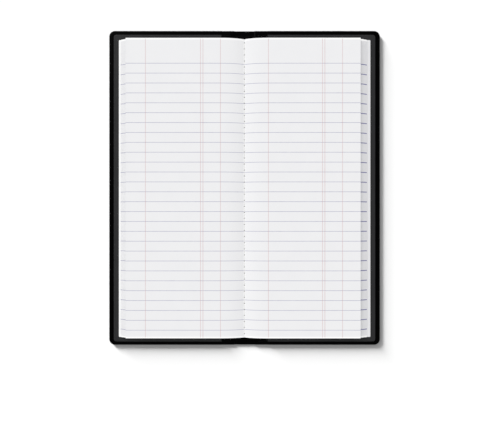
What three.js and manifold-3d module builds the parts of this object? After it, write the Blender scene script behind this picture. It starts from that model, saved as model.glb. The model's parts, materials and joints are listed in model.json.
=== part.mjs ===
// A pocket tally book, lying open and flat with its pages up.
// Millimetres. X runs across the opening, Y towards the head of the page, Z up from the table.
// The origin is on the table, under the middle of the open book.
// A heat-sealed vinyl case holds two stiff boards.
// A sewn text block with a card cover slips into its two pockets.

import * as THREE from "three";
import { mergeVertices } from "three/addons/utils/BufferGeometryUtils.js";
import Module from "manifold-3d";

const wasm = await Module();
wasm.setup();

// The case, measured lying open
const caseHeight = 209.55;
const caseWidth = 180.7;
const cornerRadius = 3.8;
const outerVinyl = 0.3;
const liningVinyl = 0.3;
const pocketVinyl = 0.25;
const boardThickness = 1.0;
const weldWidth = 2.9; // the flat sealed rim, outside the board
const weldLift = 0.3; // the rim and the hinge groove lie this far above the outer face
const edgeSlope = 0.8; // the run in which a sheet passes from the rim to the board's face
const boardEase = 0.1; // between the board's edge and the foot of the slope
const boardCorner = 0.4; // also the smallest corner that a sheet is pressed to
const hingeGroove = 2.4; // the flexible web between the crease and the board
const creaseWeb = 0.6; // half of the strip that bends at each crease
const creaseHeight = 0.3; // the line that the case bends about
const webThinning = 0.1; // how much thinner the bending strip is at its middle
const pocketMouth = 15.4; // the pocket's open edge, from the middle of the spine
const pocketSlope = 1.0;

// The card cover of the text block
const cardThickness = 0.25;
const cardMargin = 0.4; // the card cover is this much shorter than the pages, at head and tail
const cardEase = 4.9; // from the rim's inner edge to the flap's outer edge
const cardCorner = 3.0;
const cardSpineHalf = 2.3;
const flapSetback = 0.6; // from the board's inner edge to the flap's fold
const sheetEase = 0.05; // between sheets that lie on each other

// The leaves
const pageMargin = 6.4; // from the case's head or tail to the page's
const pageCorner = 0.6;
const leafThickness = 0.1;
const leafPitch = 0.2; // from leaf to leaf out in the page
const foldPitch = 0.11; // from leaf to leaf at the fold
const gutterRun = 19; // the run in which a leaf climbs out of the fold
const foldTop = 3.78; // the bottom of the valley between the two top leaves
const topEase = 0.05; // between the top leaf and the plane where the two halves meet
const innerStart = 1.0; // the leaves' inner edges, from the middle of the fold
const middleStart = 1.5;
const outerStart = 2.2;
const innerSetbackLeft = 12.15; // from the case's fore-edge to the pack's lowest leaf
const innerSetbackRight = 13.85;
const middleSetbackLeft = 8.35;
const middleSetbackRight = 9.35;
const outerSetbackLeft = 6.95;
const outerSetbackRight = 6.75;
const innerCreep = 0.06; // how much shorter each leaf is than the one under it
const middleCreep = 0.6;
const outerCreep = 0.12;
const blockDrop = 0.6; // the block sits this much nearer to the case's tail than to its head

// The sewing
const threadRadius = 0.13;
const threadBed = 0.32; // the room that the lower thread takes under the card
const stitchPitch = 4.0;
const stitchDip = 0.3; // how far each thread dips into a needle hole
const needleHoleWidth = 0.5;
const needleHoleLength = 1.2;
const seamMargin = 2.3; // at least this much from the head or tail of the page to the first hole
const coreEase = 0.2; // between the folded backs and each leaf's inner edge
const foldTaper = 0.3; // how much narrower each side of the fold is at the bottom
const spineEase = 1.3; // room in the spine when the book is shut

// Worked out from the sizes above
const baseSeamTop = outerVinyl + liningVinyl;
const boardTop = outerVinyl + boardThickness;
const liningTop = boardTop + liningVinyl;
const flapTop = liningTop + cardThickness;
const pocketFloor = flapTop + sheetEase;
const pocketTop = pocketFloor + pocketVinyl;
const packs = [
  {
    leaves: 8,
    start: innerStart,
    creep: innerCreep,
    left: caseWidth / 2 - innerSetbackLeft,
    right: caseWidth / 2 - innerSetbackRight,
  },
  {
    leaves: 6,
    start: middleStart,
    creep: middleCreep,
    left: caseWidth / 2 - middleSetbackLeft,
    right: caseWidth / 2 - middleSetbackRight,
  },
  {
    leaves: 4,
    start: outerStart,
    creep: outerCreep,
    left: caseWidth / 2 - outerSetbackLeft,
    right: caseWidth / 2 - outerSetbackRight,
  },
];
const leafCount = packs.reduce((sum, pack) => sum + pack.leaves, 0);
const lowestLeaf = pocketTop + sheetEase;
const topLeafFace = lowestLeaf + (leafCount - 1) * leafPitch + leafThickness;
const meetingHeight = topLeafFace + topEase;
const spineHalf = meetingHeight - creaseHeight + spineEase;
const cardSpineFloor = baseSeamTop + threadBed;
const foldFloor = cardSpineFloor + cardThickness + sheetEase;
const boardEdge = spineHalf + creaseWeb + hingeGroove;
const pageHeight = caseHeight - 2 * pageMargin;
const cardHeight = pageHeight - 2 * cardMargin;
const cardReach = caseWidth / 2 - weldWidth - cardEase;
const cardStart = boardEdge + flapSetback;
const stitches = Math.floor((pageHeight - 2 * seamMargin) / stitchPitch);
const foldShoulder = innerStart - coreEase;
const valleyRise = leafFace(0, foldShoulder) - foldTop;
const needleThreadLevel =
  foldTop + (threadRadius * Math.hypot(foldShoulder, valleyRise)) / foldShoulder + sheetEase;
const bobbinThreadLevel = baseSeamTop + threadBed / 2;

const finishes = {
  vinyl: { color: 0x151617, roughness: 0.5, metalness: 0 },
  lining: { color: 0x0d0d0e, roughness: 0.6, metalness: 0 },
  pocket: { color: 0x303133, roughness: 0.6, metalness: 0 },
  board: { color: 0x9a8f7c, roughness: 0.9, metalness: 0 },
  card: { color: 0xcfc6b2, roughness: 0.85, metalness: 0 },
  paper: { color: 0xf0f1f2, roughness: 0.85, metalness: 0 },
  thread: { color: 0xe6e2d8, roughness: 0.9, metalness: 0 },
};

const book = new THREE.Group();

function addPiece(name, geometry, finish) {
  const mesh = new THREE.Mesh(geometry, new THREE.MeshStandardMaterial(finishes[finish]));
  mesh.name = name;
  book.add(mesh);
}

// A piece of the text block, which sits off the case's middle
function addBlockPiece(name, geometry, finish) {
  addPiece(name, geometry.translate(0, -blockDrop, 0), finish);
}

function geometryFrom(points, triangles) {
  const geometry = new THREE.BufferGeometry();
  geometry.setAttribute("position", new THREE.Float32BufferAttribute(points, 3));
  geometry.setIndex(triangles);
  return geometry;
}

function toSolid(geometry) {
  const bare = geometry.clone();
  bare.deleteAttribute("normal");
  bare.deleteAttribute("uv");
  const merged = mergeVertices(bare, 1e-4);
  const vertProperties = new Float32Array(merged.attributes.position.array);
  const triVerts = new Uint32Array(merged.index.array);
  return new wasm.Manifold(new wasm.Mesh({ numProp: 3, vertProperties, triVerts }));
}

function toGeometry(solid) {
  const mesh = solid.getMesh();
  const points = [];
  for (let i = 0; i < mesh.numVert; i += 1) {
    points.push(...mesh.vertProperties.subarray(i * mesh.numProp, i * mesh.numProp + 3));
  }
  return geometryFrom(points, Array.from(mesh.triVerts));
}

// A rectangle from x0 to x1 and as far as y each way, with both corners at x1 rounded.
// The points go anticlockwise, the same number for every radius.
function roundedOutline(x0, x1, y, radius) {
  const steps = 8;
  const points = [new THREE.Vector2(x0, y), new THREE.Vector2(x0, -y)];
  for (const side of [-1, 1]) {
    for (let i = 0; i <= steps; i += 1) {
      const turn = (i / steps) * (Math.PI / 2) + (side < 0 ? -Math.PI / 2 : 0);
      points.push(
        new THREE.Vector2(
          x1 - radius + radius * Math.cos(turn),
          side * (y - radius) + radius * Math.sin(turn),
        ),
      );
    }
  }
  return points;
}

// A sheet pressed to shape: nested outlines, each at its own height, with an even thickness above them.
function pressedSheet(rings, thickness) {
  const count = rings[0].outline.length;
  const points = [];
  for (const lift of [0, thickness]) {
    for (const ring of rings) {
      for (const p of ring.outline) points.push(p.x, p.y, ring.z + lift);
    }
  }
  const topStart = rings.length * count;
  const triangles = [];
  const quad = (a, b, c, d) => triangles.push(a, b, c, a, c, d);
  for (let i = 0; i < count; i += 1) {
    const next = (i + 1) % count;
    quad(i, next, topStart + next, topStart + i);
    for (let k = 0; k + 1 < rings.length; k += 1) {
      const outer = k * count;
      const inner = outer + count;
      quad(outer + next, outer + i, inner + i, inner + next);
      quad(topStart + outer + i, topStart + outer + next, topStart + inner + next, topStart + inner + i);
    }
  }
  const last = rings[rings.length - 1];
  const lastStart = (rings.length - 1) * count;
  for (const [a, b, c] of THREE.ShapeUtils.triangulateShape(last.outline, [])) {
    triangles.push(topStart + lastStart + a, topStart + lastStart + b, topStart + lastStart + c);
    triangles.push(lastStart + c, lastStart + b, lastStart + a);
  }
  return geometryFrom(points, triangles);
}

function flatSheet(outline, z, thickness) {
  return pressedSheet([{ outline, z }], thickness);
}

// A section in X and Z, drawn anticlockwise as seen from the tail, carried along Y.
function alongSpine(section, height) {
  const shape = new THREE.Shape(section.map(([x, z]) => new THREE.Vector2(x, z)));
  const geometry = new THREE.ExtrudeGeometry(shape, { depth: height, bevelEnabled: false, steps: 1 });
  geometry.rotateX(Math.PI / 2);
  geometry.translate(0, height / 2, 0);
  return geometry;
}

// The right half is modelled, and the left half is its mirror image.
function mirrored(geometry) {
  const copy = geometry.index ? geometry.toNonIndexed() : geometry.clone();
  copy.scale(-1, 1, 1);
  const position = copy.attributes.position;
  const order = [];
  for (let i = 0; i < position.count; i += 3) order.push(i, i + 2, i + 1);
  return geometryFrom(Array.from(position.array), order);
}

// Nested outlines of a cover half: rim, foot of the slope and panel
function coverRings(heights, slope) {
  const reach = caseWidth / 2;
  const half = caseHeight / 2;
  const start = spineHalf + creaseWeb;
  const panelInset = weldWidth + slope;
  return [
    { outline: roundedOutline(start, reach, half, cornerRadius), z: heights[0] },
    {
      outline: roundedOutline(
        boardEdge - boardEase - slope,
        reach - weldWidth,
        half - weldWidth,
        Math.max(cornerRadius - weldWidth, boardCorner),
      ),
      z: heights[0],
    },
    {
      outline: roundedOutline(
        boardEdge - boardEase,
        reach - panelInset,
        half - panelInset,
        Math.max(cornerRadius - panelInset, boardCorner),
      ),
      z: heights[1],
    },
  ];
}

function makeOuterSheet() {
  return pressedSheet(coverRings([weldLift, 0], edgeSlope), outerVinyl);
}

function makeLining() {
  return pressedSheet(coverRings([weldLift + outerVinyl, boardTop], edgeSlope), liningVinyl);
}

// Welded on three sides, open towards the spine
function makePocket() {
  const onRim = weldLift + outerVinyl + liningVinyl;
  const sheet = toSolid(pressedSheet(coverRings([onRim, pocketFloor], pocketSlope), pocketVinyl));
  const cutter = new THREE.BoxGeometry(2 * pocketMouth, 2 * caseHeight, 4 * pocketTop);
  return toGeometry(sheet.subtract(toSolid(cutter)));
}

function makeBoard() {
  const inset = weldWidth + edgeSlope + boardEase;
  const outline = roundedOutline(boardEdge, caseWidth / 2 - inset, caseHeight / 2 - inset, boardCorner);
  return flatSheet(outline, outerVinyl, boardThickness);
}

// The strip that bends: it climbs from the spine's level to the groove's, and is thinnest on the crease.
function makeHingeStrip() {
  const steps = 6;
  const lower = [];
  const upper = [];
  for (let i = 0; i <= steps; i += 1) {
    const t = i / steps;
    const x = spineHalf - creaseWeb + 2 * creaseWeb * t;
    const climb = weldLift * t * t * (3 - 2 * t);
    const pinch = (webThinning / 2) * Math.sin(Math.PI * t) ** 2;
    lower.push([x, climb + pinch]);
    upper.unshift([x, climb + baseSeamTop - pinch]);
  }
  return alongSpine([...lower, ...upper], caseHeight);
}

function makeSpineSheet(z, thickness) {
  const half = spineHalf - creaseWeb;
  const section = [
    [-half, z],
    [half, z],
    [half, z + thickness],
    [-half, z + thickness],
  ];
  return alongSpine(section, caseHeight);
}

function makeCardFlap() {
  return flatSheet(
    roundedOutline(cardStart, cardReach, cardHeight / 2, cardCorner),
    liningTop,
    cardThickness,
  );
}

// The solid with a needle hole at each end of every stitch
function pierced(geometry) {
  let solid = toSolid(geometry);
  const depth = 2 * (foldTop - cardSpineFloor);
  for (let i = 0; i <= stitches; i += 1) {
    const needle = new THREE.BoxGeometry(needleHoleWidth, needleHoleLength, 2 * depth);
    needle.translate(0, (i - stitches / 2) * stitchPitch, cardSpineFloor);
    solid = solid.subtract(toSolid(needle));
  }
  return toGeometry(solid);
}

function makeCardSpine() {
  const section = [
    [-cardSpineHalf, cardSpineFloor],
    [cardSpineHalf, cardSpineFloor],
    [cardSpineHalf, cardSpineFloor + cardThickness],
    [-cardSpineHalf, cardSpineFloor + cardThickness],
  ];
  return pierced(alongSpine(section, cardHeight));
}

// A leaf's upper face over x, counted down from the top leaf: it leaves the fold steeply and levels off.
function leafFace(index, x) {
  const atFold = foldTop - index * foldPitch;
  const outInPage = topLeafFace - index * leafPitch;
  const share = Math.min(x / gutterRun, 1);
  return atFold + (outInPage - atFold) * (1 - (1 - share) ** 3);
}

function makeLeaf(index, start, reach) {
  const climbSteps = 9;
  const stations = [];
  for (let i = 0; i <= climbSteps; i += 1) {
    stations.push(start + (gutterRun - start) * (i / climbSteps) ** 1.4);
  }
  stations.push(reach - pageCorner, reach);
  const half = pageHeight / 2;
  const points = [];
  for (const drop of [leafThickness, 0]) {
    for (const x of stations) {
      const y = x < reach ? half : half - pageCorner;
      const z = leafFace(index, x) - drop;
      points.push(x, -y, z, x, y, z);
    }
  }
  const count = stations.length;
  const top = 2 * count;
  const triangles = [];
  const quad = (a, b, c, d) => triangles.push(a, b, c, a, c, d);
  for (let i = 0; i + 1 < count; i += 1) {
    const [a, b] = [2 * i, 2 * i + 1];
    quad(a, b, b + 2, a + 2);
    quad(top + a, top + a + 2, top + b + 2, top + b);
    quad(a, a + 2, top + a + 2, top + a);
    quad(b + 2, b, top + b, top + b + 2);
  }
  const end = 2 * (count - 1);
  quad(1, 0, top, top + 1);
  quad(end, end + 1, top + end + 1, top + end);
  return geometryFrom(points, triangles);
}

// The folded backs of the nested sheets: widest at the outermost sheet. Their top is the valley between the
// two top leaves, and carries on the leaves' own slope.
function makeSewnFold() {
  const right = [[foldShoulder, foldTop + valleyRise]];
  let index = -1;
  for (const pack of packs) {
    index += pack.leaves;
    right.push([pack.start - coreEase, leafFace(index, 0) - leafThickness]);
  }
  right.push([outerStart - coreEase - foldTaper, foldFloor]);
  const left = right.map(([x, z]) => [-x, z]);
  const section = [...right.reverse(), [0, foldTop], ...left];
  return pierced(alongSpine(section, pageHeight));
}

// A thread in the plane of the fold. It dips at every needle hole, towards the other thread.
function makeThread(level, dip) {
  const sides = 5;
  const reach = needleHoleLength / 2;
  const dipStations = [
    [-reach, 0],
    [-reach / 2, dip / 2],
    [0, dip],
    [reach / 2, dip / 2],
    [reach, 0],
  ];
  const points = [];
  const path = [];
  for (let i = 0; i <= stitches; i += 1) {
    const hole = (i - stitches / 2) * stitchPitch;
    for (const [along, fall] of dipStations) path.push([hole + along, level + fall]);
    if (i < stitches) path.push([hole + stitchPitch / 2, level]);
  }
  const steps = path.length - 1;
  path.forEach(([y, z], i) => {
    const before = path[Math.max(i - 1, 0)];
    const after = path[Math.min(i + 1, steps)];
    const slope = Math.atan2(after[1] - before[1], after[0] - before[0]);
    for (let k = 0; k < sides; k += 1) {
      const turn = (2 * Math.PI * k) / sides;
      const outward = threadRadius * Math.cos(turn);
      points.push(
        threadRadius * Math.sin(turn),
        y - outward * Math.sin(slope),
        z + outward * Math.cos(slope),
      );
    }
  });
  const triangles = [];
  for (let i = 0; i < steps; i += 1) {
    for (let k = 0; k < sides; k += 1) {
      const a = i * sides + k;
      const b = i * sides + ((k + 1) % sides);
      triangles.push(a, b, a + sides, b, b + sides, a + sides);
    }
  }
  for (let k = 1; k + 1 < sides; k += 1) {
    triangles.push(0, k + 1, k);
    triangles.push(steps * sides, steps * sides + k, steps * sides + k + 1);
  }
  return geometryFrom(points, triangles);
}

const halves = [
  { side: "back", page: "right", place: (geometry) => geometry },
  { side: "front", page: "left", place: mirrored },
];

for (const { side, page, place } of halves) {
  addPiece(side + "_vinyl", place(makeOuterSheet()), "vinyl");
  addPiece(side + "_board", place(makeBoard()), "board");
  addPiece(side + "_lining", place(makeLining()), "lining");
  addPiece(side + "_pocket", place(makePocket()), "pocket");
  addPiece(side + "_hinge_strip", place(makeHingeStrip()), "vinyl");
  addBlockPiece(side + "_card_flap", place(makeCardFlap()), "card");
  let index = 0;
  for (const pack of packs) {
    for (let i = 0; i < pack.leaves; i += 1) {
      const number = String(index + 1).padStart(2, "0");
      const reach = pack[page] - (pack.leaves - 1 - i) * pack.creep;
      addBlockPiece(page + "_leaf_" + number, place(makeLeaf(index, pack.start, reach)), "paper");
      index += 1;
    }
  }
}
addPiece("spine_vinyl", makeSpineSheet(0, outerVinyl), "vinyl");
addPiece("spine_lining", makeSpineSheet(outerVinyl, liningVinyl), "lining");
addBlockPiece("card_spine", makeCardSpine(), "card");
addBlockPiece("sewn_fold", makeSewnFold(), "paper");
addBlockPiece("needle_thread", makeThread(needleThreadLevel, -stitchDip), "thread");
addBlockPiece("bobbin_thread", makeThread(bobbinThreadLevel, stitchDip), "thread");

export default book;
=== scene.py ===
import json
import math

import bpy
import numpy as np
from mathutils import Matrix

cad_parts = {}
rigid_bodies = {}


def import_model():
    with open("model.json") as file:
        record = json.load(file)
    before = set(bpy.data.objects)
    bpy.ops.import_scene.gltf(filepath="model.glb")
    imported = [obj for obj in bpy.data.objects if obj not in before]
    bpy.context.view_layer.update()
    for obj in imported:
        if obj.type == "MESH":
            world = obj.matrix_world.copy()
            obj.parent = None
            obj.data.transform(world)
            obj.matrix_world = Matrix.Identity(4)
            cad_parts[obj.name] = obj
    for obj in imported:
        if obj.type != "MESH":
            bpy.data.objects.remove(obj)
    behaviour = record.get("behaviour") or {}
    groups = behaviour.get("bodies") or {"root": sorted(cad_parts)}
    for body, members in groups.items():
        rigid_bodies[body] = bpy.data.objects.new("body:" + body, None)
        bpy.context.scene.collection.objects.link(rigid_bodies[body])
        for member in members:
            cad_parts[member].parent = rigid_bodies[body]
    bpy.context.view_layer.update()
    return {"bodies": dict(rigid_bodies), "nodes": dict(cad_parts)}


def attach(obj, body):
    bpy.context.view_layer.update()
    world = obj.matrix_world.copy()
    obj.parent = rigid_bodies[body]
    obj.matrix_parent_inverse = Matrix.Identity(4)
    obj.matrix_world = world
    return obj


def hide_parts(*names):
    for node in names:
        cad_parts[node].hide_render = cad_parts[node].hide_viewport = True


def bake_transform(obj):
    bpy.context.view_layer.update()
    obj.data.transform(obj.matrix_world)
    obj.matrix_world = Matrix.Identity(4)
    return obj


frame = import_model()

# Lengths are in millimetres up to makeObject, which turns them into metres.
# x runs across the opening, y towards the head, z up. The left half is the right half's mirror image.
mm = 0.001
random = np.random.default_rng(11)
blockDrop = 0.6  # the text block sits this much towards the tail
sheetSpan = (200.0, 220.0)  # what the map "sheet" covers in x and y, with the book's middle in its middle
sharpAngle = math.radians(38)


# 0 below t = 0, 1 above t = 1, and t^2 (3 - 2t) between them.
def smooth(t):
    t = np.clip(t, 0, 1)
    return t * t * (3 - 2 * t)


# Joined runs (start, end, count) without repeated ends.
def stations(*runs):
    parts = [np.linspace(a, b, n, endpoint=False) for a, b, n in runs]
    return np.concatenate(parts + [[runs[-1][1]]])


# The same steps on both sides of zero.
def mirrored(steps):
    return np.concatenate([-steps[:0:-1], steps])


# The map "sheet" at flat points: 0 to 1 over sheetSpan.
def sheetMap(x, y):
    return np.stack([x / sheetSpan[0] + 0.5, y / sheetSpan[1] + 0.5], -1)


# Faces of a closed sheet: the upper grid, the lower grid turned over, and the sides between them.
def gridQuads(nu, nv):
    index = np.arange(nu * nv).reshape(nu, nv)
    a, b, c, d = index[:-1, :-1], index[1:, :-1], index[1:, 1:], index[:-1, 1:]
    top = np.stack([a, b, c, d], -1).reshape(-1, 4)
    rim = np.concatenate([index[:, 0], index[-1, 1:], index[-2::-1, -1], index[0, -2:0:-1]])
    following = np.roll(rim, -1)
    lower = nu * nv
    side = np.stack([rim + lower, following + lower, following, rim], -1)
    return top, top[:, ::-1] + lower, side


# Faces between the rings of a tube, whose index has one row for each ring.
def tubeQuads(index):
    following = np.roll(index, -1, axis=1)
    return np.stack([index[:-1], index[1:], following[1:], following[:-1]], -1).reshape(-1, 4)


# A mesh from points in millimetres. The attributes "edge" and "mark" carry what the materials read.
def makeObject(name, points, quads, uv, parts=None, edge=None, mark=None, triangles=()):
    mesh = bpy.data.meshes.new(name)
    mesh.vertices.add(len(points))
    mesh.vertices.foreach_set("co", (points * mm).astype(np.float32).ravel())
    triangles = np.array(triangles, dtype=np.int32).reshape(-1, 3)
    corners = np.concatenate([quads.astype(np.int32).ravel(), triangles.ravel()])
    starts = np.concatenate([4 * np.arange(len(quads)), quads.size + 3 * np.arange(len(triangles))])
    mesh.loops.add(len(corners))
    mesh.loops.foreach_set("vertex_index", corners)
    mesh.polygons.add(len(starts))
    mesh.polygons.foreach_set("loop_start", starts.astype(np.int32))
    if parts is not None:
        mesh.polygons.foreach_set("material_index", parts.astype(np.int32))
    mesh.update(calc_edges=True)
    layer = mesh.uv_layers.new(name="sheet")
    layer.data.foreach_set("uv", uv[corners].astype(np.float32).ravel())
    for title, values in (("edge", edge), ("mark", mark)):
        if values is not None:
            attribute = mesh.attributes.new(title, "FLOAT", "POINT")
            attribute.data.foreach_set("value", values.astype(np.float32))
    mesh.shade_smooth()
    mesh.set_sharp_from_angle(angle=sharpAngle)
    mesh.validate()
    obj = bpy.data.objects.new(name, mesh)
    bpy.context.scene.collection.objects.link(obj)
    return obj


# A closed sheet between two grids of points. Sign -1 mirrors it to the left.
# Its faces have material 0 on top, 1 below and 2 on the sides.
def makeSheet(name, top, bottom, sign, edge=None, mark=None, drop=0.0):
    nu, nv = top.shape[:2]
    points = np.concatenate([top.reshape(-1, 3), bottom.reshape(-1, 3)])
    upper, lower, side = gridQuads(nu, nv)
    quads = np.concatenate([upper, lower, side])
    parts = np.repeat([0, 1, 2], [len(upper), len(lower), len(side)])
    if sign < 0:
        points = points * [-1, 1, 1]
        quads = quads[:, ::-1]
    uv = sheetMap(points[:, 0], points[:, 1])
    points = points - [0, drop, 0]
    twice = lambda grid: None if grid is None else np.tile(grid.ravel(), 2)
    return makeObject(name, points, quads, uv, parts, twice(edge), twice(mark))


def layered(x, y, z):
    return np.stack([x, y, z], -1)


# The grid of xs and ys with its two corners at reach pulled into arcs. Returns x, y and the distance to the rim.
# In a corner square of side radius, with a and b from 0 to 1 outwards, r = max(a, b) and turn = pi/4 min / max,
# and the point goes to r (cos turn, sin turn).
def roundedGrid(xs, ys, reach, halfHeight, radius):
    x, y = np.meshgrid(xs, ys, indexing="ij")
    rim = np.minimum(reach - x, halfHeight - np.abs(y))
    a = (x - (reach - radius)) / radius
    b = (np.abs(y) - (halfHeight - radius)) / radius
    inside = (a > 0) & (b > 0)
    r = np.maximum(a, b)
    turn = math.pi / 4 * np.minimum(a, b) / np.where(r > 0, r, 1)
    turn = np.where(a >= b, turn, math.pi / 2 - turn)
    x = np.where(inside, reach - radius + radius * r * np.cos(turn), x)
    y = np.where(inside, np.sign(y) * (halfHeight - radius + radius * r * np.sin(turn)), y)
    return x, y, rim


# The vinyl case. Its sheets are sealed together in a flat rim around the boards and the pockets.
case = {
    "halfWidth": 90.35,
    "halfHeight": 104.775,
    "corner": 3.8,
    "outer": 0.3,
    "lining": 0.3,
    "pocket": 0.25,
    "boardTop": 1.3,
    "boardEdge": 9.75,  # the boards' edges next to the spine
    "boardEase": 0.1,
    "slope": 0.8,  # the run from the rim to the board's face
    "weld": 2.9,  # width of the sealed rim at the sides
    "headTrim": 0.4,  # how much narrower it is at the head
    "tailTrim": 0.9,
    "trimRun": 2.0,
    "weldCorner": 5.0,  # corner radius of its inner edge
    "weldLift": 0.3,
    "crease": 6.75,
    "creaseWeb": 0.6,
    "pocketMouth": 15.4,
    "pocketFloor": 1.9,
    "pocketSlope": 1.0,
    "pressDepth": 0.06,  # the line that the sealing bar leaves at the foot of the rim
    "pocketPressDepth": 0.05,
    "pressInset": 0.25,
    "pressWidth": 0.28,
    "pinchDepth": 0.05,  # the outer sheet's dip along the crease
    "pinchWidth": 0.45,
    "edgeRound": 0.14,
    "mouthRound": 0.1,
    "mouthShare": 0.6,
    "outerGap": 0.02,  # air left between sheets that lie on each other
    "liningGap": 0.01,
    "edgeZone": 30.0,  # the strip along an edge whose mesh gets finer
}


# Distance to the case's edge, along outlines with rounder corners, which the rim's inner edge follows:
# min(dx, dy), and R - |(R - dx, R - dy)| in a corner square of side R. At the head and the tail,
# dy grows by a trim that sets in over trimRun.
def sealDistance(x, y):
    radius = case["weldCorner"]
    dx, dy = case["halfWidth"] - x, case["halfHeight"] - np.abs(y)
    dy = dy + np.where(y > 0, case["headTrim"], case["tailTrim"]) * smooth(dy / case["trimRun"])
    corner = radius - np.hypot(np.maximum(radius - dx, 0), np.maximum(radius - dy, 0))
    return np.where((dx < radius) & (dy < radius), corner, np.minimum(dx, dy))


# Steps through the edge zone, finer on the slope, on the rim and at the very edge.
def edgeRuns(size):
    zoneStart = size - case["edgeZone"]
    slopeStart = size - case["weld"] - case["pocketSlope"] - 0.5
    rimStart = size - case["weld"] + 0.2
    edgeStart = size - 0.3
    return [(zoneStart, slopeStart, 12), (slopeStart, rimStart, 10), (rimStart, edgeStart, 9),
            (edgeStart, size, 4)]


def caseStations(start):
    inside = case["halfWidth"] - case["edgeZone"]
    creaseStart, creaseEnd = case["crease"] - case["creaseWeb"], case["crease"] + case["creaseWeb"]
    boardEdge, mouth = case["boardEdge"], case["pocketMouth"]
    if start < creaseStart:
        runs = [(start, creaseStart, 8), (creaseStart, creaseEnd, 10), (creaseEnd, boardEdge - 1, 5),
                (boardEdge - 1, boardEdge, 8), (boardEdge, mouth, 5), (mouth, inside, 16)]
    else:
        runs = [(start, start + 0.3, 3), (start + 0.3, inside, 20)]
    ys = stations((0, case["halfHeight"] - case["edgeZone"], 26), *edgeRuns(case["halfHeight"]))
    return stations(*runs, *edgeRuns(case["halfWidth"])), mirrored(ys)


# 1 on the board's panel, 0 on the sealed rim and in the hinge groove.
def panelShare(x, seal):
    fromRim = smooth((seal - case["weld"]) / case["slope"])
    fromHinge = smooth((x - case["boardEdge"] + case["boardEase"] + case["slope"]) / case["slope"])
    return fromRim * fromHinge


# How far a sheet's face falls near its edge: a quarter circle of radius size.
def rounding(rim, size):
    t = np.clip(1 - rim / size, 0, 1)
    return size * (1 - np.sqrt(1 - t * t))


# A line pressed along the rim's foot: depth exp(-((d - foot) / width)^2).
def pressLine(seal, depth):
    return depth * np.exp(-(((seal - case["weld"] + case["pressInset"]) / case["pressWidth"]) ** 2))


# One cover with its half of the spine. The sheets lie on the table in the spine and climb to weldLift at the crease.
# From there a sheet's level is (1 - share) of the rim's level plus share of the panel's level.
def makeCaseHalf(side, sign):
    xs, ys = caseStations(0.0)
    x, y, rim = roundedGrid(xs, ys, case["halfWidth"], case["halfHeight"], case["corner"])
    across = xs[:, None] * np.ones_like(rim)
    seal = sealDistance(x, y)
    share = panelShare(across, seal)
    creaseEnd = case["crease"] + case["creaseWeb"]
    climb = case["weldLift"] * smooth((across - case["crease"] + case["creaseWeb"]) / (2 * case["creaseWeb"]))
    fromCrease = np.abs(across - case["crease"])
    grooveEnd = case["boardEdge"] - case["boardEase"] - case["slope"]
    smoothZone = np.minimum(seal, np.maximum(across - grooveEnd, 0))  # the grain is flattened in rim and groove
    smoothZone = np.where(across < creaseEnd, seal, smoothZone)

    # Outer sheet: rim and groove are lifted, the panel lies on the table.
    low = climb * (1 - share)
    pinch = case["pinchDepth"] * np.exp(-((fromCrease / case["pinchWidth"]) ** 2))
    pressed = pressLine(seal, case["pressDepth"]) + pinch + rounding(rim, case["edgeRound"])
    outer = makeSheet(side + "OuterSheet", layered(x, y, low + case["outer"] - case["outerGap"]),
                      layered(x, y, low + pressed), sign, smoothZone)

    # Lining: rests on the outer sheet in rim, groove and spine, and on the board in the panel.
    floor = (low + case["outer"]) * (1 - share) + case["boardTop"] * share
    lining = makeSheet(side + "Lining", layered(x, y, floor + case["lining"] - case["liningGap"]),
                       layered(x, y, floor), sign, smoothZone)

    # Pocket: starts at its mouth, lies on the rim and rises over the card flap.
    xs, ys = caseStations(case["pocketMouth"])
    x, y, rim = roundedGrid(xs, ys, case["halfWidth"], case["halfHeight"], case["corner"])
    seal = sealDistance(x, y)
    share = smooth((seal - case["weld"]) / case["pocketSlope"])
    onRim = case["weldLift"] + case["outer"] + case["lining"]
    floor = onRim * (1 - share) + case["pocketFloor"] * share
    pressed = pressLine(seal, case["pocketPressDepth"]) + rounding(rim, case["edgeRound"])
    mouth = rounding(xs[:, None] - case["pocketMouth"], case["mouthRound"])
    top = floor + case["pocket"] - pressed - mouth * case["mouthShare"]
    pocket = makeSheet(side + "Pocket", layered(x, y, top), layered(x, y, floor), sign, seal)

    cover = side + "_cover"
    for piece in (outer, lining):
        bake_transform(piece)
    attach(pocket, cover)
    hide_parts(side + "_vinyl", side + "_hinge_strip", "spine_vinyl")
    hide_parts(side + "_lining", "spine_lining")
    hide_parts(side + "_pocket")
    return {"outer": outer, "lining": lining, "pocket": pocket}


# The card cover of the text block, whose flaps go into the pockets.
card = {
    "halfHeight": 97.975,
    "reach": 82.55,
    "corner": 3.0,
    "thickness": 0.25,
    "gap": 0.02,
    "spineFloor": 0.92,
    "flapFloor": 1.6,
    "climbStart": 2.3,
    "climbEnd": 9.0,
}


# Half of the card: flat under the fold, then a smooth climb from spineFloor to flapFloor.
def makeCardHalf(side, sign):
    climbStart, climbEnd, gap = card["climbStart"], card["climbEnd"], card["gap"]
    xs = stations((0, climbStart, 5), (climbStart, climbEnd, 20), (climbEnd, 20, 6), (20, 70, 12),
                  (70, card["reach"], 16))
    ys = mirrored(stations((0, 60, 12), (60, 90, 8), (90, card["halfHeight"], 14)))
    x, y, rim = roundedGrid(xs, ys, card["reach"], card["halfHeight"], card["corner"])
    climb = smooth((xs[:, None] - climbStart) / (climbEnd - climbStart)) * np.ones_like(rim)
    floor = card["spineFloor"] + (card["flapFloor"] - card["spineFloor"]) * climb
    obj = makeSheet(side + "CardCover", layered(x, y, floor + card["thickness"] - gap), layered(x, y, floor + gap),
                    sign, rim, drop=blockDrop)
    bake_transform(obj)
    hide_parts(side + "_card_flap", "card_spine")
    return obj


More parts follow.
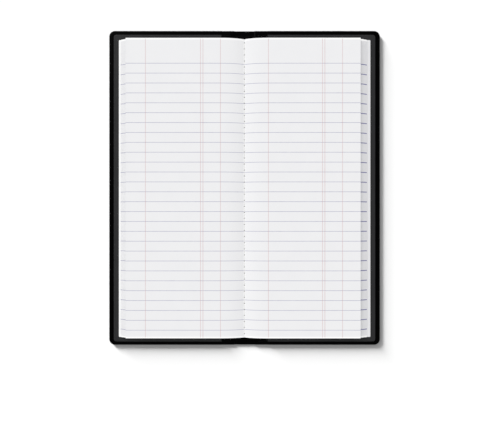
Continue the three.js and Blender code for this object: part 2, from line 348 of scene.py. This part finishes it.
# The leaves. Number 1 is on top, and each pack steps out further than the one above it.
leaves = {
    "halfHeight": 98.375,
    "thickness": 0.1,
    "pitch": 0.2,  # from leaf to leaf out in the page
    "foldPitch": 0.11,  # from leaf to leaf at the fold
    "foldTop": 3.78,
    "topFace": 5.7,
    "gutterRun": 19.0,
    "tuck": 0.05,  # how far a leaf goes into the fold's side
    "bendStart": 0.3,  # where a leaf starts to bend as its joint turns, from its inner edge
    "bendRun": 4.0,
    "turnRun": 1.6,
    "corner": 0.25,
    "wave": 0.02,
    "waveRun": (4.0, 12.0),  # where the cockle sets in, and over how much
    "headJitter": 0.1,
    "reachJitter": 0.06,
}
# Ink is what a leaf's print has above the top leaf's; a negative one leaves it blank.
packs = [
    {"body": "inner", "first": 1, "last": 8, "side": 0.8, "right": 76.5, "left": 78.2, "creep": 0.06,
     "rightInk": 0.0, "leftInk": 0.0},
    {"body": "middle", "first": 9, "last": 14, "side": 1.3, "right": 81.0, "left": 82.0, "creep": 0.6,
     "rightInk": 1.05, "leftInk": 0.1},
    {"body": "outer", "first": 15, "last": 18, "side": 2.0, "right": 83.6, "left": 83.4, "creep": 0.12,
     "rightInk": -0.6, "leftInk": -0.6},
]


# Upper face of a leaf over x: the fold's height + climb (1 - (1 - x / run)^3), as in the solids.
def leafFace(number, x):
    atFold = leaves["foldTop"] - (number - 1) * leaves["foldPitch"]
    out = leaves["topFace"] - (number - 1) * leaves["pitch"]
    share = np.clip(x / leaves["gutterRun"], 0, 1)
    return atFold + (out - atFold) * (1 - (1 - share) ** 3)


# A slow cockle that all leaves share, so that the stack stays parallel: two sine waves over x and y.
def wave(x, y):
    return (np.sin(x / 13.7 + 0.4) * np.sin(y / 17.3 + 1.1) + 0.5 * np.sin(x / 7.9 + y / 23.0)) / 1.5


def makeLeaf(page, sign, number, pack, turning):
    fine = number <= turning
    reach = pack[page] - (pack["last"] - number) * pack["creep"] + random.uniform(-1, 1) * leaves["reachJitter"]
    half = leaves["halfHeight"] + random.uniform(-1, 1) * leaves["headJitter"]
    foldSide = np.interp(number, [each["last"] for each in packs], [each["side"] for each in packs])
    start = foldSide - leaves["tuck"]
    run = leaves["gutterRun"]
    # The steps are finest next to the fold, where the leaf bends.
    xs = stations((start, start + 0.25, 3), (start + 0.25, start + 2.05, 16), (start + 2.05, start + 4.75, 6),
                  (start + 4.75, run, 14), (run, reach - 1, 34 if fine else 10), (reach - 1, reach, 5))
    ys = mirrored(stations((0, half - 1, 52 if fine else 14), (half - 1, half, 5)))
    x, y, rim = roundedGrid(xs, ys, reach, half, leaves["corner"])
    waveStart, waveRun = leaves["waveRun"]
    z = leafFace(number, x) + leaves["wave"] * wave(x, y) * smooth((x - waveStart) / waveRun)
    if pack["body"] != "outer":
        rim = half - np.abs(y)
    obj = makeSheet(f"{page}Leaf{number:02d}", layered(x, y, z), layered(x, y, z - leaves["thickness"]), sign, rim,
                    np.full(x.shape, pack[page + "Ink"]), blockDrop)
    parent, body = "spine", page + "_" + pack["body"]
    if fine:
        parent = body if number == turning else f"{page}_turning_leaf_{number + 1}"
        body = f"{page}_turning_leaf_{number}"
    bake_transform(obj)
    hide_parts(f"{page}_leaf_{number:02d}")
    return obj


# The folded backs and the stitch line that runs through them.
stitching = {
    "pitch": 4.0,
    "count": 48,
    "radius": 0.13,
    "sway": 0.04,  # how far each stitch lies to the left or right of the fold, in turn
    "dipWidth": 0.42,
    "needleDip": -0.7,
    "needleGap": 0.03,
    "bobbinLevel": 0.76,
    "bobbinDip": 0.3,
    "holeRadius": 0.38,
    "holeDepth": 0.7,
}
foldShape = {
    "halfBottom": 1.7,
    "bottom": 1.22,
    "waist": [(2.0, 1.81), (1.3, 2.25)],  # its side, where the two lower packs start
    "neck": (2.91, 3.6),  # heights between which the side is upright
    "valley": 0.12,  # radius of the valley's bottom
    "valleyGap": 0.012,
    "endEase": 0.02,
    "holeFrom": 3.0,  # height above which the needle holes dent it
    "steps": 24,  # for each stitch
}


# A closed bar whose sides follow the stack, and whose top carries on the top leaves' slope into a soft valley,
# z = leaf face at sqrt(x^2 + valley^2), with a dimple depth exp(-(d / radius)^4) at each end of every stitch.
def makeFold():
    side = packs[0]["side"]
    bottom, valley = foldShape["bottom"], foldShape["valley"]
    across = np.linspace(side, 0, 13)
    section = [(0.0, bottom), (foldShape["halfBottom"], bottom)] + foldShape["waist"]
    section += [(side, height) for height in foldShape["neck"]]
    section += list(zip(across, leafFace(1, np.hypot(across, valley)) - foldShape["valleyGap"]))
    right = np.array(section)
    ring = np.concatenate([right, right[-2:0:-1] * [-1, 1]])
    half = leaves["halfHeight"] - foldShape["endEase"]
    pitch, count = stitching["pitch"], stitching["count"]
    run = count * pitch / 2
    ys = np.concatenate([np.linspace(-half, -run, 6, endpoint=False),
                         np.linspace(-run, run, count * foldShape["steps"] + 1), np.linspace(run, half, 7)[1:]])
    x = ring[None, :, 0] * np.ones((len(ys), 1))
    z = ring[None, :, 1] * np.ones((len(ys), 1))
    y = ys[:, None] * np.ones((1, len(ring)))
    nearest = np.clip(np.round(ys / pitch), -count // 2, count // 2) * pitch
    away = np.hypot(x, y - nearest[:, None]) / stitching["holeRadius"]
    hole = np.where(z > foldShape["holeFrom"], np.exp(-(away ** 4)), 0)
    z = z - hole * stitching["holeDepth"]
    points = layered(x, y - blockDrop, z).reshape(-1, 3)
    m, n = len(ys), len(ring)
    index = np.arange(m * n).reshape(m, n)
    # The two ends are closed by strips between mirrored points of the ring.
    k = np.arange(1, n // 2 - 1)
    first, last = index[0], index[-1]
    near = np.stack([first[k], first[k + 1], first[n - k - 1], first[n - k]], -1)
    far = np.stack([last[k], last[k + 1], last[n - k - 1], last[n - k]], -1)[:, ::-1]
    quads = np.concatenate([tubeQuads(index), near, far])
    top = n // 2
    tips = [[first[0], first[1], first[n - 1]], [first[top - 1], first[top], first[top + 1]],
            [last[0], last[n - 1], last[1]], [last[top - 1], last[top + 1], last[top]]]
    uv = sheetMap(points[:, 0], points[:, 1] + blockDrop)
    # The dent's share also goes to the attribute "mark", which the fold's material uses to paint shade into the
    # holes.
    obj = makeObject("sewnFold", points, quads, uv, mark=hole.ravel(), triangles=tips)
    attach(obj, "spine")
    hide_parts("sewn_fold")
    return obj


# A thread along the fold, pulled into each needle hole: z = level + dip exp(-(d / dipWidth)^2),
# with d the distance to the nearest hole.
def makeThread(name, node, level, dip):
    count, pitch, radius = stitching["count"], stitching["pitch"], stitching["radius"]
    perStitch, sides = 20, 8
    s = np.arange(count * perStitch + 1) / perStitch
    y = (s - count / 2) * pitch
    away = np.abs(s - np.round(s)) * pitch
    z = level + dip * np.exp(-((away / stitching["dipWidth"]) ** 2))
    x = stitching["sway"] * np.sin(math.pi * s)
    normal = np.stack([np.zeros_like(y), -np.gradient(z, y), np.ones_like(y)], -1)
    normal /= np.linalg.norm(normal, axis=1)[:, None]
    turn = np.arange(sides) / sides * 2 * math.pi
    path = np.stack([x, y - blockDrop, z], -1)
    ring = np.cos(turn)[None, :, None] * [1, 0, 0] + np.sin(turn)[None, :, None] * normal[:, None, :]
    points = (path[:, None, :] + radius * ring).reshape(-1, 3)
    index = np.arange(len(path) * sides).reshape(len(path), sides)
    cap = np.array([[0, 1, 2, 3], [0, 3, 4, 7], [4, 5, 6, 7]])
    quads = np.concatenate([tubeQuads(index), index[0][cap], index[-1][cap][:, ::-1]])
    uv = np.stack([np.tile(turn / (2 * math.pi), len(path)), np.repeat(y, sides) / sheetSpan[1] + 0.5], -1)
    obj = makeObject(name, points, quads, uv)
    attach(obj, "spine")
    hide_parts(node)
    return obj


halves = [("back", "right", 1), ("front", "left", -1)]
turning = sum(1 for body in frame["bodies"] if body.startswith("right_turning_leaf_"))
caseSheets = []
cardSheets = []
for side, page, sign in halves:
    caseSheets.append(makeCaseHalf(side, sign))
    cardSheets.append(makeCardHalf(side, sign))
print("case and card cover made")
pages = {"right": [], "left": []}
for side, page, sign in halves:
    for pack in packs:
        for number in range(pack["first"], pack["last"] + 1):
            pages[page].append(makeLeaf(page, sign, number, pack, turning))
print("leaves made:", sum(len(group) for group in pages.values()))
fold = makeFold()
needleLevel = leaves["foldTop"] + stitching["radius"] + stitching["needleGap"]
needleThread = makeThread("needleThread", "needle_thread", needleLevel, stitching["needleDip"])
bobbinThread = makeThread("bobbinThread", "bobbin_thread", stitching["bobbinLevel"], stitching["bobbinDip"])
print("sewn fold and threads made")


# Short names for building node trees.
def wire(tree, node, values):
    for key, value in values.items():
        socket = node.inputs[key]
        if isinstance(value, bpy.types.NodeSocket):
            tree.links.new(value, socket)
        else:
            socket.default_value = value
    return node


def add(tree, kind, values=None, **settings):
    node = tree.nodes.new("ShaderNode" + kind)
    for key, value in settings.items():
        setattr(node, key, value)
    return wire(tree, node, values or {})


def calc(tree, operation, *values, clamp=False):
    return add(tree, "Math", dict(enumerate(values)), operation=operation, use_clamp=clamp).outputs[0]


def ramp(tree, value, low, high, toLow=0.0, toHigh=1.0, steps="SMOOTHSTEP"):
    values = {"Value": value, "From Min": low, "From Max": high, "To Min": toLow, "To Max": toHigh}
    return add(tree, "MapRange", values, interpolation_type=steps).outputs["Result"]


def mixColor(tree, share, a, b):
    node = add(tree, "Mix", data_type="RGBA")
    return wire(tree, node, {0: share, 6: a, 7: b}).outputs[2]


def attribute(tree, name):
    return add(tree, "Attribute", attribute_name=name).outputs["Fac"]


def noise(tree, vector, scale, detail=2.0, roughness=0.5):
    values = {"Vector": vector, "Scale": scale, "Detail": detail, "Roughness": roughness}
    return add(tree, "TexNoise", values).outputs["Fac"]


# A node group with the given inputs that puts out a colour, a roughness and a height.
def newGroup(name, inputs):
    tree = bpy.data.node_groups.new(name, "ShaderNodeTree")
    for title, kind, value in inputs:
        socket = tree.interface.new_socket(name=title, in_out="INPUT", socket_type="NodeSocket" + kind)
        socket.default_value = value
    for title, kind in (("Color", "Color"), ("Roughness", "Float"), ("Height", "Float")):
        tree.interface.new_socket(name=title, in_out="OUTPUT", socket_type="NodeSocket" + kind)
    return tree, tree.nodes.new("NodeGroupInput").outputs


def putOut(tree, color, roughness, height):
    wire(tree, tree.nodes.new("NodeGroupOutput"), {"Color": color, "Roughness": roughness, "Height": height})
    return tree


# The sheet's own flat coordinates in millimetres, from its map.
def sheetPlace(tree):
    uv = add(tree, "UVMap", uv_map="sheet").outputs[0]
    return add(tree, "VectorMath", {0: uv, 1: sheetSpan + (0.0,)}, operation="MULTIPLY").outputs[0]


# Object coordinates in millimetres, stretched.
def objectPlace(tree, stretch=(1.0, 1.0, 1.0)):
    where = add(tree, "TexCoord").outputs["Object"]
    scale = tuple(s / mm for s in stretch)
    return add(tree, "VectorMath", {0: where, 1: scale}, operation="MULTIPLY").outputs[0]


# A group's colour, roughness and height on a plain surface shader.
def newMaterial(name, group, inputs, specular, bump):
    material = bpy.data.materials.new(name)
    material.use_nodes = True
    tree = material.node_tree
    bsdf = tree.nodes["Principled BSDF"]
    node = tree.nodes.new("ShaderNodeGroup")
    node.node_tree = group
    wire(tree, node, inputs)
    relief = add(tree, "Bump", {"Height": node.outputs["Height"], "Strength": 1.0, "Distance": bump * mm})
    wire(tree, bsdf, {"Base Color": node.outputs["Color"], "Roughness": node.outputs["Roughness"],
                      "Normal": relief.outputs["Normal"], "Specular IOR Level": specular})
    return material


# Sheet vinyl. The grain is flattened where the sheet was sealed.
vinyl = {
    "weldFade": 0.5,
    "bendScale": 0.9,
    "cellShoulder": 0.35,  # how far a cell is rounded from its edge
    "cellRelief": 0.7,  # the cells' share of the relief, the rest is the fine noise
    "fineScale": 6.0,
    "broadScale": 0.06,
    "sealedRelief": 0.15,
    "mottle": 0.35,
    "dustFrom": 0.62,  # fine noise at which dust starts to show, and where it is full
    "dustFull": 0.8,
    "dust": 0.25,
    "sealedRoughness": 0.3,
    "panelRoughness": 0.42,
    "mottleRoughness": 0.12,
}
vinylFinishes = {
    "coverVinyl": {"inputs": {"Tone": (0.017, 0.0175, 0.019, 1), "Weld Tone": (0.01, 0.01, 0.011, 1),
                              "Cell Scale": 1.5}, "specular": 0.5, "bump": 0.09},
    "liningVinyl": {"inputs": {"Tone": (0.0004, 0.0004, 0.0004, 1), "Mottle Tone": (0.001, 0.001, 0.001, 1),
                               "Dust Tone": (0.004, 0.004, 0.004, 1), "Cell Scale": 1.8},
                    "specular": 0.06, "bump": 0.05},
    "pocketVinyl": {"inputs": {"Tone": (0.0235, 0.0237, 0.0245, 1), "Cell Scale": 1.8},
                    "specular": 0.05, "bump": 0.05},
}


# Embossed leather grain: cells about 0.7 mm wide with a finer noise on them, and a slow mottle in the colour.
def makeVinylGroup():
    tree, source = newGroup(
        "vinylGrain",
        [("Tone", "Color", (0.02, 0.02, 0.021, 1)), ("Weld Tone", "Color", (0.0004, 0.0004, 0.0004, 1)),
         ("Mottle Tone", "Color", (0.045, 0.045, 0.048, 1)), ("Dust Tone", "Color", (0.07, 0.07, 0.072, 1)),
         ("Cell Scale", "Float", 1.5), ("Weld Edge", "Float", case["weld"])])
    place = sheetPlace(tree)
    weldEnd = calc(tree, "ADD", source["Weld Edge"], vinyl["weldFade"])
    panel = ramp(tree, attribute(tree, "edge"), source["Weld Edge"], weldEnd)
    bend = noise(tree, place, vinyl["bendScale"])
    shifted = add(tree, "VectorMath", {0: place, 1: bend}, operation="ADD").outputs[0]
    cells = add(tree, "TexVoronoi", {"Vector": shifted, "Scale": source["Cell Scale"], "Randomness": 0.9},
                feature="DISTANCE_TO_EDGE").outputs["Distance"]
    pebble = ramp(tree, cells, 0.0, vinyl["cellShoulder"])
    fine = noise(tree, place, vinyl["fineScale"], 3.0, 0.6)
    broad = noise(tree, place, vinyl["broadScale"], 3.0, 0.55)
    grain = calc(tree, "ADD", calc(tree, "MULTIPLY", pebble, vinyl["cellRelief"]),
                 calc(tree, "MULTIPLY", fine, 1 - vinyl["cellRelief"]))
    depth = calc(tree, "MULTIPLY_ADD", panel, 1 - vinyl["sealedRelief"], vinyl["sealedRelief"])
    tone = mixColor(tree, calc(tree, "MULTIPLY", broad, vinyl["mottle"]), source["Tone"], source["Mottle Tone"])
    dust = ramp(tree, fine, vinyl["dustFrom"], vinyl["dustFull"], 0.0, vinyl["dust"])
    dusted = mixColor(tree, dust, tone, source["Dust Tone"])
    rough = calc(tree, "ADD", calc(tree, "MULTIPLY", broad, vinyl["mottleRoughness"]),
                 ramp(tree, panel, 0, 1, vinyl["sealedRoughness"], vinyl["panelRoughness"]))
    return putOut(tree, mixColor(tree, panel, source["Weld Tone"], dusted), rough,
                  calc(tree, "MULTIPLY", grain, depth))


vinylGroup = makeVinylGroup()
coverVinyl = newMaterial("coverVinyl", vinylGroup, **vinylFinishes["coverVinyl"])
liningVinyl = newMaterial("liningVinyl", vinylGroup, **vinylFinishes["liningVinyl"])
pocketVinyl = newMaterial("pocketVinyl", vinylGroup, **vinylFinishes["pocketVinyl"])

# Ledger paper and its print. Places are in millimetres from the fold and from the book's middle.
ruling = {
    "first": 81.7,
    "pitch": 6.471,
    "count": 28,
    "core": 0.1,  # half of a rule's full ink, and where the ink ends
    "half": 0.2,
    "widening": 0.14,  # added to half for each unit of the ink attribute
    "strength": 0.72,
    "gain": 1.1,  # added to strength for each unit of the ink attribute
    "pressureScale": 0.35,
    "pressureSpread": 0.5,
    "pressureLow": 0.62,
    "ink": (0.16, 0.16, 0.34, 1),
    "uprightCore": 0.14,
    "uprightHalf": 0.34,
    "uprightStrength": 0.69,
    "uprightInk": (0.57, 0.34, 0.34, 1),
    "right": (15.7, 51.1, 52.65, 64.2),  # the upright rules of each page, from the fold
    "left": (15.7, 27.15, 28.75, 64.8),
}
paper = {
    "low": (0.785, 0.785, 0.8, 1),
    "high": (0.82, 0.82, 0.828, 1),
    "fibre": (0.73, 0.73, 0.745, 1),
    "fibreScale": 1.7,
    "fibreFrom": 0.35,  # fibre noise at which the fibre tone sets in, and where it is full
    "fibreFull": 0.75,
    "fibreShare": 0.25,
    "fibreRelief": 0.02,
    "cloudScale": 0.08,
    "cloudRelief": 0.12,
    "roughness": 0.72,
    "roughSpread": 0.15,
    "specular": 0.25,
    "bump": 0.35,
    # the grey that painted shade mixes into the paper
    "shade": (0.6, 0.6, 0.62, 1),
    # the colour of the painted highlight along cut edges
    "paintedHighlightTone": (0.93, 0.93, 0.93, 1),
    "rim": (0.7, 1.5),  # painted highlight: the bright margin along a cut edge, and where it has faded
    "printFree": (0.15, 0.9),  # where the upright rules start at head and tail
    "stepShade": 0.38,  # painted shade for the right page's stepped leaves, which lie in half shade
    # painted shade for the right page's outer pack
    "outerShade": 0.5,
    # a weaker painted edge highlight for the right page's outer pack, which lies in shade
    "outerPaintedHighlight": 0.2,
}


# 1 on the rules: the distance to the nearest of them, faded from core to halfLine.
def ruleMask(tree, place, halfLine):
    y = calc(tree, "SUBTRACT", add(tree, "SeparateXYZ", {0: place}).outputs[1], sheetSpan[1] / 2)
    step = calc(tree, "DIVIDE", calc(tree, "SUBTRACT", ruling["first"], y), ruling["pitch"])
    part = calc(tree, "ABSOLUTE", calc(tree, "SUBTRACT", step, calc(tree, "ROUND", step)))
    within = calc(tree, "MULTIPLY", calc(tree, "GREATER_THAN", step, -0.5),
                  calc(tree, "LESS_THAN", step, ruling["count"] - 0.5))
    line = ramp(tree, calc(tree, "MULTIPLY", part, ruling["pitch"]), ruling["core"], halfLine, 1.0, 0.0, "LINEAR")
    return calc(tree, "MULTIPLY", line, within)


# Paper with level rules and four upright rules on each page. The attribute "mark" is the ink above the top leaf's.
# Two inputs set painted shade, which greys the paper, and a painted highlight along its cut edges.
def makeLedgerGroup():
    tree, source = newGroup(
        "ledgerPrint",
        [(f"Upright {k + 1}", "Float", ruling["right"][k]) for k in range(4)]
        + [("Shade", "Float", 0.0), ("Painted Edge Highlight", "Float", 1.0)])
    place = sheetPlace(tree)
    extraInk = attribute(tree, "mark")
    rim = attribute(tree, "edge")
    rule = ruleMask(tree, place, calc(tree, "MULTIPLY_ADD", extraInk, ruling["widening"], ruling["half"]))
    x = add(tree, "SeparateXYZ", {0: place}).outputs[0]
    across = calc(tree, "ABSOLUTE", calc(tree, "SUBTRACT", x, sheetSpan[0] / 2))
    uprights = 0.0
    for k in range(4):
        off = calc(tree, "ABSOLUTE", calc(tree, "SUBTRACT", across, source[f"Upright {k + 1}"]))
        line = ramp(tree, off, ruling["uprightCore"], ruling["uprightHalf"], 1.0, 0.0)
        uprights = calc(tree, "MAXIMUM", uprights, line)
    uprights = calc(tree, "MULTIPLY", uprights, ramp(tree, rim, *paper["printFree"]))
    pressure = calc(tree, "MULTIPLY_ADD", noise(tree, place, ruling["pressureScale"]), ruling["pressureSpread"],
                    ruling["pressureLow"])
    amount = calc(tree, "MAXIMUM", calc(tree, "MULTIPLY_ADD", extraInk, ruling["gain"], ruling["strength"]), 0.0)
    strength = calc(tree, "MULTIPLY", pressure, amount)
    fibre = noise(tree, place, paper["fibreScale"], 4.0, 0.65)
    cloud = noise(tree, place, paper["cloudScale"], 3.0)
    tone = mixColor(tree, cloud, paper["low"], paper["high"])
    fibres = ramp(tree, fibre, paper["fibreFrom"], paper["fibreFull"], 0.0, paper["fibreShare"])
    tone = mixColor(tree, fibres, tone, paper["fibre"])
    # Painted shade: the paper is greyed where its leaves lie in shade.
    tone = mixColor(tree, source["Shade"], tone, paper["shade"])
    # Painted highlight: a bright margin along the leaf's cut edges.
    paintedHighlightShare = calc(tree, "MULTIPLY", ramp(tree, rim, *paper["rim"], 1.0, 0.0), source["Painted Edge Highlight"])
    tone = mixColor(tree, paintedHighlightShare, tone, paper["paintedHighlightTone"])
    inked = mixColor(tree, calc(tree, "MULTIPLY", rule, strength, clamp=True), tone, ruling["ink"])
    upright = calc(tree, "MULTIPLY", strength, ruling["uprightStrength"])
    inked = mixColor(tree, calc(tree, "MULTIPLY", uprights, upright, clamp=True), inked, ruling["uprightInk"])
    height = calc(tree, "ADD", calc(tree, "MULTIPLY", fibre, paper["fibreRelief"]),
                  calc(tree, "MULTIPLY", cloud, paper["cloudRelief"]))
    rough = calc(tree, "MULTIPLY_ADD", fibre, paper["roughSpread"], paper["roughness"])
    return putOut(tree, inked, rough, height)


ledgerGroup = makeLedgerGroup()


# A page's print material, with its painted shade and its painted edge highlight.
def newPagePrint(name, page, shade=0.0, paintedEdgeHighlight=1.0):
    inputs = {f"Upright {k + 1}": ruling[page][k] for k in range(4)}
    inputs.update({"Shade": shade, "Painted Edge Highlight": paintedEdgeHighlight})
    return newMaterial(name, ledgerGroup, inputs, paper["specular"], paper["bump"])


rightPrint = newPagePrint("rightPagePrint", "right")
# The right page's lower packs get painted shade, and the outer pack also a weaker painted edge highlight.
rightStepPrintPaintedShade = newPagePrint("rightStepPrintPaintedShade", "right", paper["stepShade"])
rightOuterPaperPaintedShade = newPagePrint("rightOuterPaperPaintedShade", "right", paper["outerShade"], paper["outerPaintedHighlight"])
leftPrint = newPagePrint("leftPagePrint", "left")

# Plain stock: two tones, the scales of a slow cloud and of the fibres, and how the fibres are stretched.
stocks = {
    "greyboard": {"group": "greyboardStock", "low": (0.3, 0.25, 0.18, 1), "high": (0.42, 0.37, 0.29, 1),
                  "cloud": 0.2, "fibre": 3.0, "rough": 0.75, "specular": 0.2, "bump": 0.06},
    "cardStock": {"group": "cardFibres", "low": (0.56, 0.5, 0.39, 1), "high": (0.68, 0.62, 0.51, 1),
                  "cloud": 0.15, "fibre": 4.0, "rough": 0.7, "specular": 0.25, "bump": 0.03},
    "pageEdges": {"group": "pageEdgeFibres", "low": (0.78, 0.785, 0.79, 1), "high": (0.88, 0.88, 0.88, 1),
                  "cloud": 0.6, "fibre": 5.0, "rough": 0.75, "specular": 0.2, "bump": 0.03},
    "threadFibre": {"group": "threadTwist", "low": (0.8, 0.79, 0.77, 1), "high": (0.9, 0.89, 0.87, 1),
                    "cloud": 2.0, "fibre": 9.0, "rough": 0.7, "specular": 0.3, "bump": 0.05,
                    "stretch": (1.0, 0.35, 1.0)},
}
slowShare = 0.6  # the slow noise's part in the mix of a stock's two tones


# Mottled stock: its two tones mixed by slowShare of a slow noise and the rest of a fine one.
def newStock(name):
    stock = stocks[name]
    tree = newGroup(stock["group"], [])[0]
    place = objectPlace(tree, stock.get("stretch", (1.0, 1.0, 1.0)))
    slow = noise(tree, place, stock["cloud"], 3.0)
    fine = noise(tree, place, stock["fibre"], 4.0, 0.7)
    share = calc(tree, "ADD", calc(tree, "MULTIPLY", slow, slowShare), calc(tree, "MULTIPLY", fine, 1 - slowShare))
    rough = calc(tree, "MULTIPLY_ADD", fine, 0.2, stock["rough"])
    putOut(tree, mixColor(tree, share, stock["low"], stock["high"]), rough, fine)
    return newMaterial(name, tree, {}, stock["specular"], stock["bump"])


greyboard = newStock("greyboard")
cardStock = newStock("cardStock")
edgePaper = newStock("pageEdges")
threadFibre = newStock("threadFibre")

foldPaint = {
    "low": (0.815, 0.82, 0.835, 1),
    "high": (0.885, 0.885, 0.89, 1),
    "between": (0.45, 0.45, 0.47, 1),  # painted shade in the gaps between the folded sheets, seen on the fold's sides
    "ruleStrength": 0.55,
    "gapShadeShare": 0.5,
    # painted shade in the needle holes
    "holeShadeTone": (0.16, 0.16, 0.17, 1),
    "holeFrom": 0.15,  # hole attribute at which the painted shade starts, and where it is full
    "holeFull": 0.8,
    "holeShadeShare": 0.6,
    "topFace": (2.9, 3.1),  # heights over which the sides' layers give way to the top sheet
}


# Folded paper: the top sheet with the ends of the rules on it, layers on the sides with painted shade between them,
# and needle holes darkened with painted shade.
def makeFoldMaterial():
    tree = newGroup("foldPaper", [])[0]
    place = objectPlace(tree)
    level = add(tree, "SeparateXYZ", {0: place}).outputs[2]
    fine = noise(tree, place, 3.0, 4.0, 0.6)
    layer = calc(tree, "SINE", calc(tree, "MULTIPLY", level, 2 * math.pi / leaves["foldPitch"]))
    layer = calc(tree, "MULTIPLY_ADD", layer, 0.5, 0.5)
    onTop = ramp(tree, level, *foldPaint["topFace"])
    tone = mixColor(tree, fine, foldPaint["low"], foldPaint["high"])
    rules = calc(tree, "MULTIPLY", ruleMask(tree, sheetPlace(tree), ruling["half"]), foldPaint["ruleStrength"])
    tone = mixColor(tree, rules, tone, ruling["ink"])
    # Painted shade between the layers on the fold's sides.
    sides = mixColor(tree, calc(tree, "MULTIPLY", layer, foldPaint["gapShadeShare"]), tone, foldPaint["between"])
    tone = mixColor(tree, onTop, sides, tone)
    # Painted shade in the needle holes, which are also dented.
    hole = ramp(tree, attribute(tree, "mark"), foldPaint["holeFrom"], foldPaint["holeFull"], 0.0,
                foldPaint["holeShadeShare"])
    putOut(tree, mixColor(tree, hole, tone, foldPaint["holeShadeTone"]), calc(tree, "MULTIPLY_ADD", fine, 0.15, 0.75),
           calc(tree, "MULTIPLY", layer, calc(tree, "SUBTRACT", 1.0, onTop)))
    return newMaterial("foldedPaper", tree, {}, 0.2, 0.03)


foldPaper = makeFoldMaterial()


# Materials in the order top, underside, sides.
def dress(obj, *materials):
    obj.data.materials.clear()
    for material in materials:
        obj.data.materials.append(material)


for sheets in caseSheets:
    for kind, finish in (("outer", coverVinyl), ("lining", liningVinyl), ("pocket", pocketVinyl)):
        dress(sheets[kind], finish, finish, finish)
for obj in cardSheets:
    dress(obj, cardStock, cardStock, cardStock)
# The right page's stepped packs take the materials with painted shade.
for pack, face in zip(packs, (rightPrint, rightStepPrintPaintedShade, rightOuterPaperPaintedShade)):
    for obj in pages["right"][pack["first"] - 1:pack["last"]]:
        dress(obj, face, leftPrint, edgePaper)
for obj in pages["left"]:
    dress(obj, leftPrint, rightPrint, edgePaper)
dress(fold, foldPaper)
dress(needleThread, threadFibre)
dress(bobbinThread, threadFibre)
for name in ("back_board", "front_board"):
    for slot in frame["nodes"][name].material_slots:
        slot.material = greyboard
print("materials made")

# The stage: a pale floor, a soft key from the upper left and an even white surrounding.
light = {
    "floorSize": 6.0,  # in metres
    "floorTone": 0.3,
    "around": 0.9,
    "aroundGloss": 0.22,  # what glossy rays see, so that black vinyl stays black
    "key": {"strength": 1.45, "elevation": 24.0, "azimuth": 127.0, "spread": 20.0},
    "floor": {"strength": 42.2, "elevation": 10.3, "azimuth": 131.0, "spread": 16.0},
}
bpy.ops.mesh.primitive_plane_add(size=light["floorSize"])
floor = bpy.context.object
floor.name = "floor"
floorMaterial = bpy.data.materials.new("floorWhite")
floorMaterial.use_nodes = True
wire(floorMaterial.node_tree, floorMaterial.node_tree.nodes["Principled BSDF"],
     {"Base Color": (light["floorTone"],) * 3 + (1,), "Roughness": 0.9, "Specular IOR Level": 0.0})
floor.data.materials.append(floorMaterial)


def addSun(name, strength, elevation, azimuth, spread):
    lamp = bpy.data.lights.new(name, "SUN")
    lamp.energy = strength
    lamp.angle = math.radians(spread)
    obj = bpy.data.objects.new(name, lamp)
    obj.rotation_euler = (0, math.radians(90 - elevation), math.radians(azimuth))
    bpy.context.scene.collection.objects.link(obj)
    return obj


def newCollection(name, objects):
    collection = bpy.data.collections.new(name)
    for obj in objects:
        collection.objects.link(obj)
    return collection


addSun("keyLight", **light["key"])
# A low sun for the floor alone: it whitens the floor and draws the case's soft shadow to the right and below.
floorLight = addSun("floorLight", **light["floor"])
floorLight.light_linking.receiver_collection = newCollection("floorOnly", [floor])
caseOnly = [obj for sheets in caseSheets for obj in sheets.values()]
floorLight.light_linking.blocker_collection = newCollection("caseOnly", caseOnly)

world = bpy.data.worlds.new("surround")
bpy.context.scene.world = world
world.use_nodes = True
tree = world.node_tree
path = tree.nodes.new("ShaderNodeLightPath").outputs
seen = calc(tree, "MAXIMUM", path["Is Camera Ray"], path["Is Transmission Ray"])
lit = calc(tree, "MULTIPLY_ADD", path["Is Glossy Ray"], light["aroundGloss"] - light["around"], light["around"])
wire(tree, tree.nodes["Background"], {"Color": (1, 1, 1, 1), "Strength": calc(tree, "MAXIMUM", lit, seen)})

# The photo's viewpoint: square on, 231 mm above the table.
camera = {"place": (3.64, -22.8, 230.9), "lens": 24.78}
lensData = bpy.data.cameras.new("camera")
lensData.sensor_fit = "HORIZONTAL"
lensData.sensor_width = 36.0
lensData.lens = camera["lens"]
lensData.clip_start = 0.01
lensData.clip_end = 20.0
cameraObject = bpy.data.objects.new("camera", lensData)
cameraObject.location = [v * mm for v in camera["place"]]
bpy.context.scene.collection.objects.link(cameraObject)
bpy.context.scene.camera = cameraObject
bpy.context.scene.view_settings.view_transform = "Standard"
print("stage, lights and camera made")
